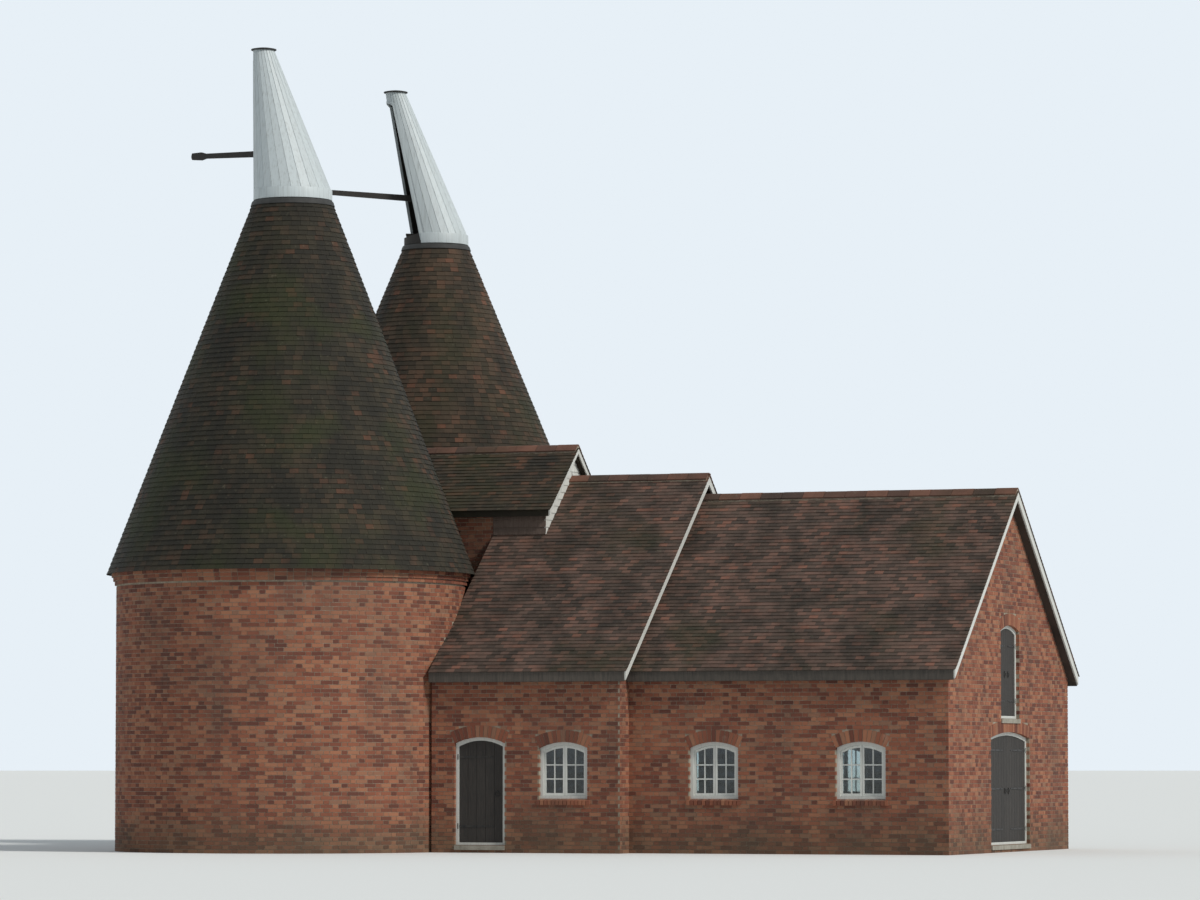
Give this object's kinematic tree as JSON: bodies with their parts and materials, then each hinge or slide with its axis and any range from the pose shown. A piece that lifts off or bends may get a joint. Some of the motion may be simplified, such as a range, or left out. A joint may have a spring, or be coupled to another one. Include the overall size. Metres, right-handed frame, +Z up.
{
  "type": "oast house",
  "caption": "Hop-drying house: round brick kilns with tall tiled cones and white wind-turned cowls, joined to a gabled, tiled brick stowage.",
  "frame": {"origin": "on the ground, under the middle of the stowage's tall bay", "axes": "+Z up; +X along the stowage's ridge, away from the kilns; +Y from kiln 1 towards kiln 2"},
  "size_m": [16.6578, 13.8798, 15.272],
  "materials": {
    "brick": "weathered red brick in lime mortar",
    "tile": "weathered plain clay tiles with lichen",
    "ridge": "clay ridge tiles bedded in mortar",
    "white_boards": "white painted boards, weathered",
    "dark_timber": "dark weathered timber",
    "floor": "worn flag and screed",
    "floor_boards": "oiled boards",
    "joinery": "white painted joinery",
    "door": "tarred planks",
    "glass": "clear window glass",
    "boarding": "weathered boarding"
  },
  "bodies": {
    "building": {"kiln_1_wall_a": "brick", "kiln_1_wall_b": "brick", "kiln_1_roof": "tile", "kiln_1_curb": "dark_timber", "kiln_2_wall_a": "brick", "kiln_2_wall_b": "brick", "kiln_2_roof": "tile", "kiln_2_curb": "dark_timber", "kiln_floors": "floor", "kiln_doors": "door", "bay_front_wall": "brick", "wing_front_wall": "brick", "bay_front_roof": "tile", "wing_front_roof": "tile", "link_front_wall": "brick", "link_front_roof": "tile", "bay_back_wall": "brick", "wing_back_wall": "brick", "bay_back_roof": "tile", "wing_back_roof": "tile", "link_back_wall": "brick", "link_back_roof": "tile", "kiln_end_wall": "brick", "bay_gable_wall": "brick", "wing_gable_wall": "brick", "link_west_wall": "brick", "link_upstand": "boarding", "ground_floor": "floor", "upper_floor": "floor_boards", "ridge_tiles": "ridge", "bargeboards": "joinery", "window_frames": "joinery", "door_frames": "joinery", "window_glass": "glass", "front_door": "door", "wagon_doors": "door", "loading_door": "door"},
    "cowl_1": {"cowl_1_shell": "white_boards", "cowl_1_cap": "dark_timber", "cowl_1_finger": "dark_timber", "cowl_1_frame": "dark_timber"},
    "cowl_2": {"cowl_2_shell": "white_boards", "cowl_2_cap": "dark_timber", "cowl_2_finger": "dark_timber", "cowl_2_frame": "dark_timber"}
  },
  "joints": [
    {"name": "cowl_1_turn", "type": "hinge", "parent": "building", "child": "cowl_1", "pos_m": [-5.09, -3.5, 12.442], "axis": [0, 0, 1], "continuous": true},
    {"name": "cowl_2_turn", "type": "hinge", "parent": "building", "child": "cowl_2", "pos_m": [-5.09, 3.5, 12.242], "axis": [0, 0, 1], "continuous": true}
  ]
}
